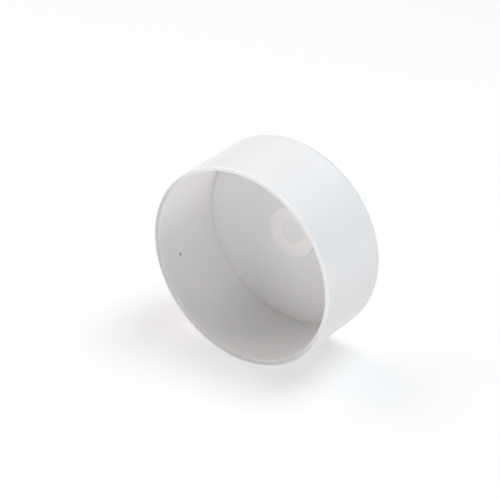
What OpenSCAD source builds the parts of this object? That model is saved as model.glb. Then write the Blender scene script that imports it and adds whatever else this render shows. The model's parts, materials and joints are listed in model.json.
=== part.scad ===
// Slip cap for the plain end of a 110 mm soil and drain pipe.
//
// The cap is one moulded cup. The pipe's end pushes into its socket and is bonded there with
// solvent cement. The cap lies on its side: its mouth faces -Y, its closed end is at +Y, its
// lowest line is on z = 0, and the origin is under the middle of its length.

/* [Socket] */
// Outside diameter of the pipe that the cap fits over
pipe_d = 110; // [90:1:160]
// How much wider than the pipe the bore is, across the diameter
pipe_gap = 0.4; // [0.2:0.1:0.8]
// Depth of the socket, from the rim to the floor
socket_depth = 48; // [36:1:70]
// Thickness of the wall at the rim
wall_t = 2.7; // [2.4:0.1:5]
// How much the outside radius shrinks towards the closed end, so that the mould releases it
outer_draft = 0.3; // [0:0.1:0.8]

/* [Rim] */
// Size of the lead-in chamfer around the inside of the rim
lead_in = 0.6; // [0.2:0.1:1]
// Radius of the rim's outside edge
rim_edge_r = 0.4; // [0.2:0.1:1]

/* [Closed end] */
// Thickness of the closed end
floor_t = 2.8; // [2.4:0.1:6]
// Radius of the outside corner between the wall and the closed end
corner_r = 6; // [3:0.5:7]
// Radius of the inside fillet between the wall and the floor
fillet_r = 0.8; // [0.6:0.2:5]

/* [Pad] */
// Diameter of the round pad raised in the middle of the floor
pad_d = 30; // [24:1:60]
// Height of the pad above the floor
pad_h = 0.5; // [0.5:0.1:2]
// Radius of the pad's edge
pad_edge_r = 0.3; // [0.1:0.1:0.4]
// Diameter of the shallow dimple in the pad
dimple_d = 15; // [6:1:20]
// Depth of the dimple
dimple_depth = 0.3; // [0.1:0.1:0.4]

/* [Gate] */
// Diameter of the recess in the middle of the outside face, behind the pad
recess_d = 26; // [12:1:40]
// Depth of the recess
recess_depth = 0.9; // [0.6:0.1:1.2]
// Diameter of the trimmed sprue that stands in the recess
sprue_d = 5; // [3:0.5:8]
// Height of the trimmed sprue, which stays below the outside face
sprue_h = 0.4; // [0.2:0.1:0.5]

/* [Hidden] */

$fn = 180;
// Overlap between shapes that are joined or cut, so that no two faces coincide
eps = 0.01;
plastic_colour = [0.93, 0.94, 0.95];

// The dimple's side runs this far inwards for each millimetre of its depth.
dimple_slope = 2;

cap_length = socket_depth + floor_t;
bore_r = (pipe_d + pipe_gap) / 2;
rim_r = bore_r + wall_t;
base_r = rim_r - outer_draft;

// What a round of radius r takes off, or fills in, at a square corner at the origin. The corner's
// sides run along +X and +Y.
module corner_spandrel(r) {
    difference() {
        square(r);
        translate([r, r]) circle(r);
    }
}

// Half-sections are drawn with x as the radius and y as the height above the outside face.

// Half-section of the cup as if it were solid
module outside_section() {
    difference() {
        polygon([[0, 0], [base_r, 0], [base_r, corner_r], [rim_r, cap_length], [0, cap_length]]);
        translate([base_r, 0]) mirror([1, 0]) corner_spandrel(corner_r);
        translate([rim_r, cap_length]) rotate(180) corner_spandrel(rim_edge_r);
    }
}

// Half-section of the room inside the socket, with its fillet and its lead-in
module hollow_section() {
    difference() {
        union() {
            translate([0, floor_t]) square([bore_r, socket_depth + eps]);
            polygon([
                [0, cap_length - lead_in],
                [bore_r, cap_length - lead_in],
                [bore_r + lead_in + eps, cap_length + eps],
                [0, cap_length + eps]
            ]);
        }
        translate([bore_r, floor_t]) mirror([1, 0]) corner_spandrel(fillet_r);
    }
}

// Half-section of the raised pad on the floor, with its round edge and its dimple
module pad_section() {
    pad_top = floor_t + pad_h;
    difference() {
        translate([0, floor_t - eps]) square([pad_d / 2, pad_h + eps]);
        translate([pad_d / 2, pad_top]) rotate(180) corner_spandrel(pad_edge_r);
        polygon([
            [0, pad_top - dimple_depth],
            [dimple_d / 2 - dimple_slope * dimple_depth, pad_top - dimple_depth],
            [dimple_d / 2 + dimple_slope * eps, pad_top + eps],
            [0, pad_top + eps]
        ]);
    }
}

// Half-section of the recess in the outside face, around the trimmed sprue
module gate_section() {
    difference() {
        translate([0, -eps]) square([recess_d / 2, recess_depth + eps]);
        translate([0, recess_depth - sprue_h]) square([sprue_d / 2, sprue_h]);
    }
}

// The cup, standing on its closed end with its axis on Z
module cup() {
    rotate_extrude()
        difference() {
            union() {
                difference() {
                    outside_section();
                    hollow_section();
                }
                pad_section();
            }
            gate_section();
        }
}

module cap() {
    color(plastic_colour)
        translate([0, cap_length / 2, rim_r]) rotate([90, 0, 0]) cup();
}

cap();
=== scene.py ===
"""A white moulded pipe cap lying on its side, in a plain pale studio."""

import json
import math

import bpy
from mathutils import Matrix, Vector, noise


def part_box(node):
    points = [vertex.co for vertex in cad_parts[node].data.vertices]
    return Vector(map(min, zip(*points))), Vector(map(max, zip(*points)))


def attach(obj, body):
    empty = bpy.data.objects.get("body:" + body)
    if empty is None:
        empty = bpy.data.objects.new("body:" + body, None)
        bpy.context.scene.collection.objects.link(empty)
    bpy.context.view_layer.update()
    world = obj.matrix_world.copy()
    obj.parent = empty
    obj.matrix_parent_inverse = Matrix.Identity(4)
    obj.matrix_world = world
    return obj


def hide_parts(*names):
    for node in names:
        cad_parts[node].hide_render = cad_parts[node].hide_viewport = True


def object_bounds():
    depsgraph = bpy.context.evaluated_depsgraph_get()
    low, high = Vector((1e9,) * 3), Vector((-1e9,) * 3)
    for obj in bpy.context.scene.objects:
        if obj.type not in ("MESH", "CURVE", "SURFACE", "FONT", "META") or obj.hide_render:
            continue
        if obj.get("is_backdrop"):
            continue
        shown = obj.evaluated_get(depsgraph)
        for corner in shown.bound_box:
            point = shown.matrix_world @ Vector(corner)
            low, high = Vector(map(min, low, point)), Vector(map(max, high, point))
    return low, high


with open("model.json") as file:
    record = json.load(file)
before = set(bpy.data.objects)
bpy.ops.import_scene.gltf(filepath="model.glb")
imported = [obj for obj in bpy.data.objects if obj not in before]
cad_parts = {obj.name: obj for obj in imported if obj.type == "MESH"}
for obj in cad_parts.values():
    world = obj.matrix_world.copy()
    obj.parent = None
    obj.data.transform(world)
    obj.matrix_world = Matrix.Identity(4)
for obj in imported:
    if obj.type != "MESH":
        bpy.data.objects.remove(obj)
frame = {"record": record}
cad_low, cad_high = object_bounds()

MM = 0.001

# ---- The cap's size, from the frame -------------------------------------------------------
low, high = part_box("cap")
mounts = {m["name"]: m for m in frame["record"]["mounts"]}
LENGTH = high.y - low.y
RIM_R = (high.x - low.x) / 2
BORE_R = mounts["socket"]["dims"]["r_mm"] * MM
AXIS_Z = mounts["socket"]["pos_m"][2]
MOUTH_Y = low.y
BACK_Y = high.y

# ---- The moulding's details, as in the CAD source ------------------------------------------
SOCKET_DEPTH = 48 * MM
FLOOR_T = LENGTH - SOCKET_DEPTH
FLOOR_Y = BACK_Y - FLOOR_T
DRAFT = 0.3 * MM
CORNER_R = 6 * MM
FILLET_R = 0.8 * MM
LEAD_IN = 0.6 * MM
RIM_EDGE_R = 0.4 * MM
PAD_R = 15 * MM
PAD_H = 0.5 * MM
PAD_EDGE_R = 0.3 * MM
DIMPLE_R = 7.5 * MM
DIMPLE_DEPTH = 0.3 * MM
# The dimple's side runs this far inwards for each millimetre of its depth.
DIMPLE_SLOPE = 2
RECESS_R = 13 * MM
RECESS_DEPTH = 0.9 * MM
SPRUE_R = 2.5 * MM
SPRUE_H = 0.4 * MM
# Edges that are sharp in the CAD source are broken by this radius here.
BROKEN_EDGE = 0.12 * MM
# The round edge of the pad is this much smaller than in the CAD source.
PAD_EDGE_LESS = 0.01 * MM

# The mesh: steps around the axis, steps around each rounded corner, and the longest side of a
# face along the half-section, elsewhere and on the sprue
TURN_STEPS = 288
CORNER_STEPS = 10
LONGEST_STEP = 5 * MM
SPRUE_STEP = 0.2 * MM
# The trimmed sprue's torn top: its height, and the size of its lumps
TORN_HEIGHT = 0.1 * MM
TORN_SIZE = 0.9 * MM

# ---- The material ---------------------------------------------------------------------------
BODY_DULL = (0.814, 0.811, 0.809, 1)
BODY_CLEAR = (0.826, 0.824, 0.823, 1)
# Painted light: the paler colour painted on the pad
PAD_LIGHT = (0.872, 0.867, 0.860, 1)
# Painted shade for the rim's lower left
RIM_SHADE = (0.58, 0.575, 0.57, 1)
# Painted shade for the crease between wall and floor and for the lowest part of the bore
PAINTED_SHADE_TONE = (0.60, 0.585, 0.57, 1)
INCLUSION = (0.20, 0.18, 0.17, 1)

# How much of the body's colour each of these hides at most. The pad's dimple keeps only a share of the pad's
# painted light.
PAD_LIGHT_COVER = 0.95
DIMPLE_SHARE = 0.15
RIM_SHADE_COVER = 0.9
CREASE_COVER = 0.3
CORNER_COVER = 0.06
# Painted shade along the lowest part of the bore
BORE_BOTTOM_SHADE_COVER = 0.22
INCLUSION_COVER = 0.65

# Sizes of the patterns in the colour, and of the scuffs
CLOUD_SIZE = 34 * MM
MOTTLE_SIZE = 6 * MM
STREAK_SIZE = 7 * MM
RAGGED_SIZE = 4 * MM
WOBBLE_SIZE = 0.5 * MM
SCRATCH_SIZE = 0.45 * MM
PATCH_SIZE = 22 * MM

# Roughness, and what the scuffs and the rim add to it
OUTSIDE_ROUGHNESS = 0.38
INSIDE_ROUGHNESS = 0.34
UNEVEN_SIZE = 11 * MM
UNEVEN_ROUGHNESS = 0.025
SCUFF_ROUGHNESS = 0.14
RIM_ROUGHNESS = -0.03

# Relief: size and height of each pattern
WAVE_SIZE, WAVE_HEIGHT = 30 * MM, 0.05 * MM
PEEL_SIZE, PEEL_HEIGHT = 1.1 * MM, 0.0025 * MM
DRAW_LINE_SIZE, DRAW_LINE_HEIGHT = 0.9 * MM, 0.003 * MM
TURNING_PITCH, TURNING_HEIGHT = 0.8 * MM, 0.0004 * MM
SCRATCH_HEIGHT = -0.0005 * MM

# How far light goes through the plastic, and through the upper part of the socket's wall
LIGHT_DEPTH = 2 * MM
WALL_LIGHT_DEPTH = 8 * MM
LIGHT_DEPTH_BY_COLOUR = (1.0, 0.95, 0.9)
IOR = 1.53

# Dark inclusions in the plastic: clock angle from the top towards +X (degrees), distance from the
# axis, distance behind the rim, and size.
INCLUSIONS = [
    (-108, 55.2 * MM, 15.6 * MM, 0.95 * MM),
    (94, 55.7 * MM, 0.2 * MM, 0.35 * MM),
    (-160, 18.1 * MM, 48.0 * MM, 0.22 * MM),
    (34, 57.85 * MM, 1.6 * MM, 0.18 * MM),
    (-72, 57.8 * MM, 31.0 * MM, 0.3 * MM),
    (215, 38.0 * MM, 50.8 * MM, 0.35 * MM),
    (60, 47.0 * MM, 50.8 * MM, 0.22 * MM),
]

# ---- The picture ---------------------------------------------------------------------------
VIEW_AZIMUTH = math.radians(36.71)
VIEW_ELEVATION = math.radians(29.82)
LENS_MM = 198.6
SENSOR_MM = 36
CAMERA_DISTANCE = 1.469
# The camera aims a little right of and above the middle of the mouth.
AIM_RIGHT = 5.43 * MM
AIM_UP = 9.27 * MM

BACKDROP = (0.8, 0.8, 0.8)
FLOOR_HALF = 6.0
FLOOR_ALBEDO = 0.5
FLOOR_GLOW = 0.46
FLOOR_ROUGHNESS = 0.9
SOFTBOX_DISTANCE = 1.4
COOL = (0.90, 0.955, 1.0)
NEUTRAL = (1.0, 0.97, 0.97)
WARM = (1.0, 0.90, 0.84)
SOFTBOXES = {
    # name: (azimuth, elevation, width, height, power, colour)
    "high_right": (130, 68, 0.8, 0.8, 16, COOL),
    "high_left": (262, 50, 1.0, 1.0, 9.3, WARM),
    "left": (307, 17, 0.9, 0.6, 6.7, NEUTRAL),
    "front": (22, 17, 0.9, 0.6, 3.8, NEUTRAL),
    "right": (60, 17, 0.9, 0.6, 3.4, COOL),
}


def rounded_section(corners):
    """Points and normals along a half-section. corners are (radius, height, rounding)."""
    points = []
    normals = []

    def add(point, normal):
        points.append(point)
        normals.append(normal)

    last = len(corners) - 1
    for i, (r, y, rounding) in enumerate(corners):
        here = Vector((r, y))
        before = Vector(corners[max(i - 1, 0)][:2])
        after = Vector(corners[min(i + 1, last)][:2])
        if i in (0, last):
            along = (after - here) if i == 0 else (here - before)
            along.normalize()
            add(here, Vector((along.y, -along.x)))
            continue
        inward = (before - here).normalized()
        outward = (after - here).normalized()
        half = inward.angle(outward) / 2
        reach = rounding / math.tan(half)
        centre = here + (inward + outward).normalized() * (rounding / math.sin(half))
        start = here + inward * reach - centre
        sweep = start.angle_signed(here + outward * reach - centre)
        convex = inward.cross(outward) < 0
        for k in range(CORNER_STEPS + 1):
            spoke = Matrix.Rotation(-sweep * k / CORNER_STEPS, 2) @ start
            spoke.normalize()
            add(centre + spoke * rounding, spoke if convex else -spoke)
    return points, normals


def divided(points, normals):
    """The same half-section with its long straight stretches cut into short steps."""
    new_points = [points[0]]
    new_normals = [normals[0]]
    for (a, b), normal_a, normal_b in zip(zip(points, points[1:]), normals, normals[1:]):
        longest = SPRUE_STEP if max(a.x, b.x) <= SPRUE_R else LONGEST_STEP
        pieces = max(1, math.ceil((b - a).length / longest))
        for k in range(1, pieces + 1):
            new_points.append(a.lerp(b, k / pieces))
            new_normals.append(normal_a.lerp(normal_b, k / pieces).normalized())
    return new_points, new_normals


def torn(r, y, a):
    """How far the trimmed sprue's top stands out of its flat, at a place on it."""
    if r > SPRUE_R - BROKEN_EDGE or y > RECESS_DEPTH - SPRUE_H + BROKEN_EDGE / 2:
        return 0.0
    place = Vector((r * math.sin(a), r * math.cos(a), 0)) / TORN_SIZE
    edge = 1 - (r / SPRUE_R) ** 6
    return TORN_HEIGHT * edge * (noise.noise(place) + 0.5 * noise.noise(place * 2.7))


def lathe(name, points, normals, turn_steps):
    """Turns a half-section about the socket's axis into one closed mesh of quads."""
    verts = []
    vert_normals = []
    rings = []
    uneven = set()
    for (r, y), (nr, ny) in zip(points, normals):
        ring = []
        count = 1 if r < 1e-9 else turn_steps
        for k in range(count):
            a = 2 * math.pi * k / turn_steps
            lift = torn(r, y, a)
            if lift:
                uneven.add(len(verts))
            ring.append(len(verts))
            verts.append((r * math.sin(a), BACK_Y - y + lift, AXIS_Z + r * math.cos(a)))
            vert_normals.append((nr * math.sin(a), -ny, nr * math.cos(a)))
        rings.append(ring)
    faces = []
    for a, b in zip(rings, rings[1:]):
        for k in range(turn_steps):
            j = (k + 1) % turn_steps
            quad = [b[k % len(b)], b[j % len(b)], a[j % len(a)], a[k % len(a)]]
            faces.append(list(dict.fromkeys(quad)))
    mesh = bpy.data.meshes.new(name)
    mesh.from_pydata(verts, [], faces)
    mesh.validate()
    mesh.shade_smooth()
    for i in uneven:
        vert_normals[i] = tuple(mesh.vertices[i].normal)
    mesh.normals_split_custom_set_from_vertices(vert_normals)
    obj = bpy.data.objects.new(name, mesh)
    bpy.context.scene.collection.objects.link(obj)
    return obj


def cap_shell():
    """The moulding's mesh. Heights in its half-section go up from the outside of the closed end."""
    pad_top = FLOOR_T + PAD_H
    sprue_top = RECESS_DEPTH - SPRUE_H
    slope = DIMPLE_SLOPE * DIMPLE_DEPTH
    base_r = RIM_R - DRAFT
    corners = [
        (0, sprue_top, 0),
        (SPRUE_R, sprue_top, BROKEN_EDGE),
        (SPRUE_R, RECESS_DEPTH, BROKEN_EDGE),
        (RECESS_R, RECESS_DEPTH, BROKEN_EDGE),
        (RECESS_R, 0, BROKEN_EDGE),
        (base_r, 0, CORNER_R),
        (RIM_R, LENGTH, RIM_EDGE_R),
        (BORE_R + LEAD_IN, LENGTH, BROKEN_EDGE),
        (BORE_R, LENGTH - LEAD_IN, BROKEN_EDGE),
        (BORE_R, FLOOR_T, FILLET_R),
        (PAD_R, FLOOR_T, BROKEN_EDGE),
        (PAD_R, pad_top, PAD_EDGE_R - PAD_EDGE_LESS),
        (DIMPLE_R, pad_top, BROKEN_EDGE),
        (DIMPLE_R - slope, pad_top - DIMPLE_DEPTH, BROKEN_EDGE),
        (0, pad_top - DIMPLE_DEPTH, 0),
    ]
    points, normals = divided(*rounded_section(corners))
    return lathe("cap_moulding", points, normals, TURN_STEPS)


class Nodes:
    """Short calls that build a material's node tree and return output sockets."""

    def __init__(self, tree):
        self.tree = tree

    def add(self, kind, inputs, output=0, **settings):
        node = self.tree.nodes.new(kind)
        for key, value in settings.items():
            setattr(node, key, value)
        for socket, value in inputs.items():
            if isinstance(value, bpy.types.NodeSocket):
                self.tree.links.new(value, node.inputs[socket])
            else:
                node.inputs[socket].default_value = value
        return node.outputs[output]

    def math(self, operation, a, b=0.0):
        return self.add("ShaderNodeMath", {0: a, 1: b}, operation=operation)

    def line(self, value, factor, offset):
        return self.add("ShaderNodeMath", {0: value, 1: factor, 2: offset}, operation="MULTIPLY_ADD")

    def total(self, *values):
        result = values[0]
        for value in values[1:]:
            result = self.math("ADD", result, value)
        return result

    def product(self, *values):
        result = values[0]
        for value in values[1:]:
            result = self.math("MULTIPLY", result, value)
        return result

    def vector(self, operation, a, b):
        return self.add("ShaderNodeVectorMath", {0: a, 1: b}, operation=operation)

    def distance(self, a, b):
        return self.add("ShaderNodeVectorMath", {0: a, 1: b}, "Value", operation="DISTANCE")

    def noise(self, place, size, detail=2.0, seed=0.0):
        inputs = {"Vector": place, "W": seed, "Scale": 1 / size, "Detail": detail}
        return self.add("ShaderNodeTexNoise", inputs, "Fac", noise_dimensions="4D")

    def step(self, value, start, end, low=0.0, high=1.0):
        """Goes smoothly from low to high as value goes from start to end."""
        inputs = {"Value": value, "From Min": start, "From Max": end, "To Min": low, "To Max": high}
        return self.add("ShaderNodeMapRange", inputs, interpolation_type="SMOOTHSTEP")

    def mix(self, factor, a, b):
        """Mixes two colours, which the node has at its inputs 6 and 7 and its output 2."""
        return self.add("ShaderNodeMix", {0: factor, 6: a, 7: b}, 2, data_type="RGBA")


def inclusion_mask(nodes, place):
    """1 inside the dark specks, 0 elsewhere."""
    mask = None
    wobble = nodes.noise(place, WOBBLE_SIZE)
    for clock, r, depth, size in INCLUSIONS:
        a = math.radians(clock)
        centre = (r * math.sin(a), MOUTH_Y + depth, AXIS_Z + r * math.cos(a))
        reach = nodes.line(wobble, size, 0.5 * size)
        ratio = nodes.math("DIVIDE", nodes.distance(place, centre), reach)
        speck = nodes.step(ratio, 1.25, 0.7)
        mask = speck if mask is None else nodes.math("MAXIMUM", mask, speck)
    return mask


def upvc_material():
    """White uPVC as moulded: cloudy colour, a pad painted paler as painted light, fine draw lines, painted
    shade on the rim, in the crease and low in the bore, and scuffs.
    """
    material = bpy.data.materials.new("white_upvc")
    material.use_nodes = True
    nodes = Nodes(material.node_tree)
    shader = material.node_tree.nodes["Principled BSDF"]

    # Places: xyz, distance from the axis, distance along it, and direction around it
    place = nodes.add("ShaderNodeTexCoord", {}, "Object")
    centred = nodes.vector("SUBTRACT", place, (0, 0, AXIS_Z))
    across = nodes.vector("MULTIPLY", centred, (1, 0, 1))
    radius = nodes.distance(across, (0, 0, 0))
    along = nodes.add("ShaderNodeSeparateXYZ", {0: place}, "Y")
    height = nodes.add("ShaderNodeSeparateXYZ", {0: place}, "Z")
    outwards = nodes.add("ShaderNodeVectorMath", {0: across}, operation="NORMALIZE")
    around = nodes.vector("MULTIPLY", outwards, (0.1, 0.1, 0.1))

    # Zones: each is 1 in its zone and 0 elsewhere, with a soft edge between the two places
    inside = nodes.product(
        nodes.step(radius, BORE_R + 0.7 * MM, BORE_R + 0.2 * MM),
        nodes.step(along, BACK_Y - 1.4 * MM, BACK_Y - 2 * MM),
    )
    wall = nodes.step(radius, BORE_R - 4 * MM, BORE_R - 1 * MM)
    flat = nodes.math("SUBTRACT", 1.0, wall)
    rim = nodes.product(
        nodes.step(along, MOUTH_Y + 1.4 * MM, MOUTH_Y + 0.2 * MM),
        nodes.step(radius, BORE_R + 0.05 * MM, BORE_R + 0.3 * MM),
    )
    ragged = nodes.noise(place, RAGGED_SIZE, 3.0, 1.0)

    # The rim is painted darker towards its lower left: painted shade, standing in for the weaker light that
    # reaches it there.
    upper_right = (0.6, 0, 0.8)
    lean = nodes.add("ShaderNodeVectorMath", {0: centred, 1: upper_right}, "Value", operation="DOT_PRODUCT")
    rim_shade = nodes.product(rim, nodes.step(lean, 0.5 * RIM_R, -0.3 * RIM_R, 0.0, RIM_SHADE_COVER))

    # The pad is painted paler up to a ragged edge, and its dimple hardly: painted light, standing in for
    # light that comes through the plastic there.
    pad_edge = nodes.line(ragged, 1.6 * MM, PAD_R - 0.3 * MM)
    on_pad = nodes.step(nodes.math("SUBTRACT", radius, pad_edge), 0.6 * MM, -0.6 * MM)
    in_dimple = nodes.step(radius, DIMPLE_R + 0.3 * MM, DIMPLE_R - 0.9 * MM)
    pad_light = nodes.product(on_pad, nodes.step(in_dimple, 0, 1, 1.0, DIMPLE_SHARE))

    # Painted shade darkens the crease between wall and floor, and thinly around it, where less light
    # reaches.
    section_place = nodes.add("ShaderNodeCombineXYZ", {"X": radius, "Y": along})
    corner = nodes.distance(section_place, (BORE_R, FLOOR_Y, 0))
    corner_shade = nodes.total(
        nodes.product(nodes.step(corner, 1.3 * MM, 0.3 * MM), CREASE_COVER),
        nodes.product(nodes.step(corner, 5 * MM, 0.5 * MM), CORNER_COVER),
    )
    corner_shade = nodes.product(corner_shade, nodes.step(ragged, 0.2, 0.6, 0.5, 1.0), inside)

    # Painted shade darkens the lowest part of the bore, and less towards the mouth, where little light
    # reaches.
    bore_bottom_shade = nodes.product(
        inside,
        wall,
        nodes.step(height, 22 * MM, 2 * MM),
        nodes.step(ragged, 0.25, 0.7, 0.75, 1.0),
        nodes.step(along, MOUTH_Y + 6 * MM, MOUTH_Y + 34 * MM),
    )

    # Colour
    cloud = nodes.total(
        nodes.product(nodes.noise(place, CLOUD_SIZE, 2.0, 2.0), 0.65),
        nodes.product(nodes.noise(place, MOTTLE_SIZE, 3.0, 3.0), 0.35),
    )
    drawn_out = nodes.vector("ADD", around, nodes.vector("MULTIPLY", across, (0.04, 0, 0.04)))
    streaks = nodes.noise(drawn_out, STREAK_SIZE, 2.0, 4.0)
    flow = nodes.product(nodes.math("SUBTRACT", streaks, 0.5), flat, 0.5)
    tone = nodes.step(nodes.total(cloud, flow), 0.36, 0.64)
    colour = nodes.mix(tone, BODY_DULL, BODY_CLEAR)
    # Painted light: the pad is made paler here.
    colour = nodes.mix(nodes.product(pad_light, PAD_LIGHT_COVER), colour, PAD_LIGHT)
    # Painted shade: the rim's lower left is made darker here.
    colour = nodes.mix(rim_shade, colour, RIM_SHADE)
    # Painted shade in the crease between wall and floor.
    colour = nodes.mix(corner_shade, colour, PAINTED_SHADE_TONE)
    # Painted shade along the lowest part of the bore.
    colour = nodes.mix(nodes.product(bore_bottom_shade, BORE_BOTTOM_SHADE_COVER), colour, PAINTED_SHADE_TONE)
    specks = nodes.product(inclusion_mask(nodes, place), INCLUSION_COVER)
    colour = nodes.mix(specks, colour, INCLUSION)

    # Scuffs: short thin scratches in two directions, in patches and mostly on the outside
    scratches = 0.0
    for turn, seed in ((0.6, 5.0), (-0.9, 6.0)):
        turned = {"Vector": place, "Rotation": (turn, 0.5 * turn, turn), "Scale": (1, 0.03, 1)}
        lie = nodes.add("ShaderNodeMapping", turned)
        scratches = nodes.total(scratches, nodes.step(nodes.noise(lie, SCRATCH_SIZE, 0.0, seed), 0.68, 0.76))
    patches = nodes.step(nodes.noise(place, PATCH_SIZE, 2.0, 7.0), 0.5, 0.68)
    handled = nodes.step(inside, 0, 1, 1.0, 0.25)
    scuffs = nodes.product(scratches, patches, handled)

    # Roughness: the core's side is smoother than the outside, and nothing is quite even.
    blotches = nodes.noise(place, UNEVEN_SIZE, 4.0, 8.0)
    uneven = nodes.step(blotches, 0.3, 0.7, -UNEVEN_ROUGHNESS, UNEVEN_ROUGHNESS)
    finish = nodes.step(inside, 0, 1, OUTSIDE_ROUGHNESS, INSIDE_ROUGHNESS)
    roughness = nodes.total(
        finish, uneven, nodes.product(scuffs, SCUFF_ROUGHNESS), nodes.product(rim, RIM_ROUGHNESS)
    )

    # Relief, in metres: long waves, orange peel, draw lines, turning marks and scratches
    waves = nodes.product(nodes.noise(place, WAVE_SIZE, 1.0, 9.0), WAVE_HEIGHT)
    peel = nodes.product(nodes.noise(place, PEEL_SIZE, 2.0, 10.0), PEEL_HEIGHT)
    lines = nodes.product(nodes.noise(across, DRAW_LINE_SIZE, 2.0, 11.0), wall, DRAW_LINE_HEIGHT)
    turns = nodes.math("SINE", nodes.math("MULTIPLY", radius, 2 * math.pi / TURNING_PITCH))
    turning = nodes.product(turns, flat, TURNING_HEIGHT)
    relief = nodes.total(waves, peel, lines, turning, nodes.product(scuffs, SCRATCH_HEIGHT))
    bump = nodes.add("ShaderNodeBump", {"Height": relief, "Distance": 1.0, "Strength": 1.0})

    # Light goes further through the upper part of the socket's wall than through the rest.
    clear = nodes.product(
        inside,
        nodes.step(along, FLOOR_Y - 1 * MM, FLOOR_Y - 7 * MM),
        nodes.step(radius, BORE_R - 1 * MM, BORE_R - 0.2 * MM),
        nodes.step(height, AXIS_Z - 12 * MM, AXIS_Z + 36 * MM),
    )
    depth = nodes.step(clear, 0, 1, LIGHT_DEPTH, WALL_LIGHT_DEPTH)

    links = material.node_tree.links
    links.new(colour, shader.inputs["Base Color"])
    links.new(roughness, shader.inputs["Roughness"])
    links.new(bump, shader.inputs["Normal"])
    links.new(depth, shader.inputs["Subsurface Scale"])
    shader.inputs["IOR"].default_value = IOR
    shader.inputs["Subsurface Weight"].default_value = 1.0
    shader.inputs["Subsurface Radius"].default_value = LIGHT_DEPTH_BY_COLOUR
    return material


def aim(obj, target):
    obj.rotation_mode = "QUATERNION"
    obj.rotation_quaternion = (target - obj.location).to_track_quat("-Z", "Y")


def direction(azimuth, elevation):
    """The direction that a view or a light comes from. Azimuth 0 is in front of the mouth."""
    return Vector((
        math.sin(azimuth) * math.cos(elevation),
        -math.cos(azimuth) * math.cos(elevation),
        math.sin(elevation),
    ))


def studio_floor():
    mesh = bpy.data.meshes.new("studio_floor")
    half = FLOOR_HALF
    z = cad_low.z
    corners = [(-half, -half, z), (half, -half, z), (half, half, z), (-half, half, z)]
    mesh.from_pydata(corners, [], [(0, 1, 2, 3)])
    obj = bpy.data.objects.new("studio_floor", mesh)
    bpy.context.scene.collection.objects.link(obj)
    material = bpy.data.materials.new("pale_floor")
    material.use_nodes = True
    shader = material.node_tree.nodes["Principled BSDF"]
    shader.inputs["Base Color"].default_value = (FLOOR_ALBEDO, FLOOR_ALBEDO, FLOOR_ALBEDO, 1)
    shader.inputs["Roughness"].default_value = FLOOR_ROUGHNESS
    shader.inputs["Specular IOR Level"].default_value = 0.0
    shader.inputs["Emission Color"].default_value = (1, 1, 1, 1)
    shader.inputs["Emission Strength"].default_value = FLOOR_GLOW
    # The floor is so large that rays find its glow by chance better than by aiming at it.
    material.cycles.emission_sampling = "NONE"
    mesh.materials.append(material)
    obj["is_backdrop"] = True


def softbox(name, azimuth, elevation, width, height, power, colour):
    target = Vector((0, 0, AXIS_Z))
    light = bpy.data.lights.new(name, "AREA")
    light.shape = "RECTANGLE"
    light.size = width
    light.size_y = height
    light.energy = power
    light.color = colour
    obj = bpy.data.objects.new(name, light)
    bpy.context.scene.collection.objects.link(obj)
    obj.location = target + direction(math.radians(azimuth), math.radians(elevation)) * SOFTBOX_DISTANCE
    aim(obj, target)


def camera():
    right = Vector((math.cos(VIEW_AZIMUTH), math.sin(VIEW_AZIMUTH), 0))
    back = direction(VIEW_AZIMUTH, VIEW_ELEVATION)
    up = back.cross(right)
    mouth = Vector((0, MOUTH_Y, AXIS_Z))
    data = bpy.data.cameras.new("camera")
    data.lens = LENS_MM
    data.sensor_width = SENSOR_MM
    data.clip_end = 100
    obj = bpy.data.objects.new("camera", data)
    bpy.context.scene.collection.objects.link(obj)
    obj.location = mouth + right * AIM_RIGHT + up * AIM_UP + back * CAMERA_DISTANCE
    obj.rotation_mode = "QUATERNION"
    obj.rotation_quaternion = Matrix((right, up, back)).transposed().to_quaternion()
    bpy.context.scene.camera = obj


def studio():
    scene = bpy.context.scene
    scene.view_settings.view_transform = "Standard"
    scene.world = bpy.data.worlds.new("studio")
    # A pale backdrop that only shows past the floor's edge; it lights nothing.
    scene.world.color = BACKDROP
    rays = scene.world.cycles_visibility
    rays.diffuse = rays.glossy = rays.transmission = rays.scatter = False
    studio_floor()
    for name, settings in SOFTBOXES.items():
        softbox(name, *settings)


camera()
studio()

cap = cap_shell()
cap.data.materials.append(upvc_material())
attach(cap, "root")
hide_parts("cap")

low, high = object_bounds()
